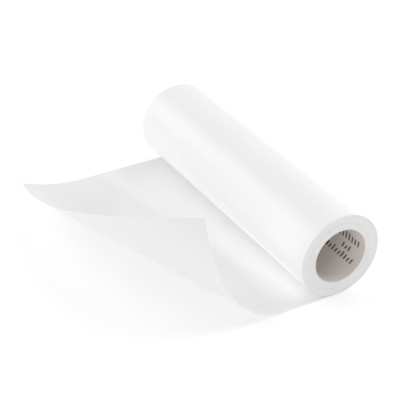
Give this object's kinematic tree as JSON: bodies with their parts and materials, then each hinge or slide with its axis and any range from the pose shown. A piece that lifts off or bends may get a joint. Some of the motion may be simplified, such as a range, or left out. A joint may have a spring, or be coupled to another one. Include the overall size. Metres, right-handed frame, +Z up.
{
  "type": "roll of sign vinyl",
  "caption": "Roll of white face-out sign vinyl on a spiral-wound paper core, with its loose end pulled out flat and curling up.",
  "frame": {"origin": "middle of the core's bore, on its axis", "axes": "+X along the bore, +Z up, loose end towards -Y; the roll stands on z = -0.0586"},
  "size_m": [0.4332, 0.3312, 0.1471],
  "materials": {
    "vinyl_film": "smooth white film, satin gloss",
    "adhesive": "clear acrylic adhesive coat",
    "release_liner": "white siliconised paper, low sheen",
    "wound_vinyl": "fine ring lines of many slit edges",
    "core_lining": "grey paper ply with a spiral seam and plain batch marks",
    "kraft_board": "pale cut board with spiral ply lines",
    "kraft_paper": "smooth pale kraft paper",
    "tape": "double sided tape"
  },
  "bodies": {
    "loose_end": {"last_turn_liner": "release_liner", "last_turn_adhesive": "adhesive", "last_turn_film": "vinyl_film", "flat_liner": "release_liner", "flat_adhesive": "adhesive", "flat_film": "vinyl_film"},
    "roll": {"core_inner_ply": "core_lining", "core_body_plies": "kraft_board", "core_outer_ply": "kraft_paper", "start_tape": "tape", "wound_turns": "wound_vinyl"},
    "curl": {"curl_liner": "release_liner", "curl_adhesive": "adhesive", "curl_film": "vinyl_film"}
  },
  "joints": [
    {"name": "roll_turn", "type": "hinge", "parent": "loose_end", "child": "roll", "pos_m": [0, 0, 0], "axis": [1, 0, 0], "continuous": true},
    {"name": "curl_lift", "type": "hinge", "parent": "loose_end", "child": "curl", "pos_m": [0, -0.123, -0.05835], "axis": [-0.9816, -0.1909, 0], "range_deg": [0, 40]}
  ]
}
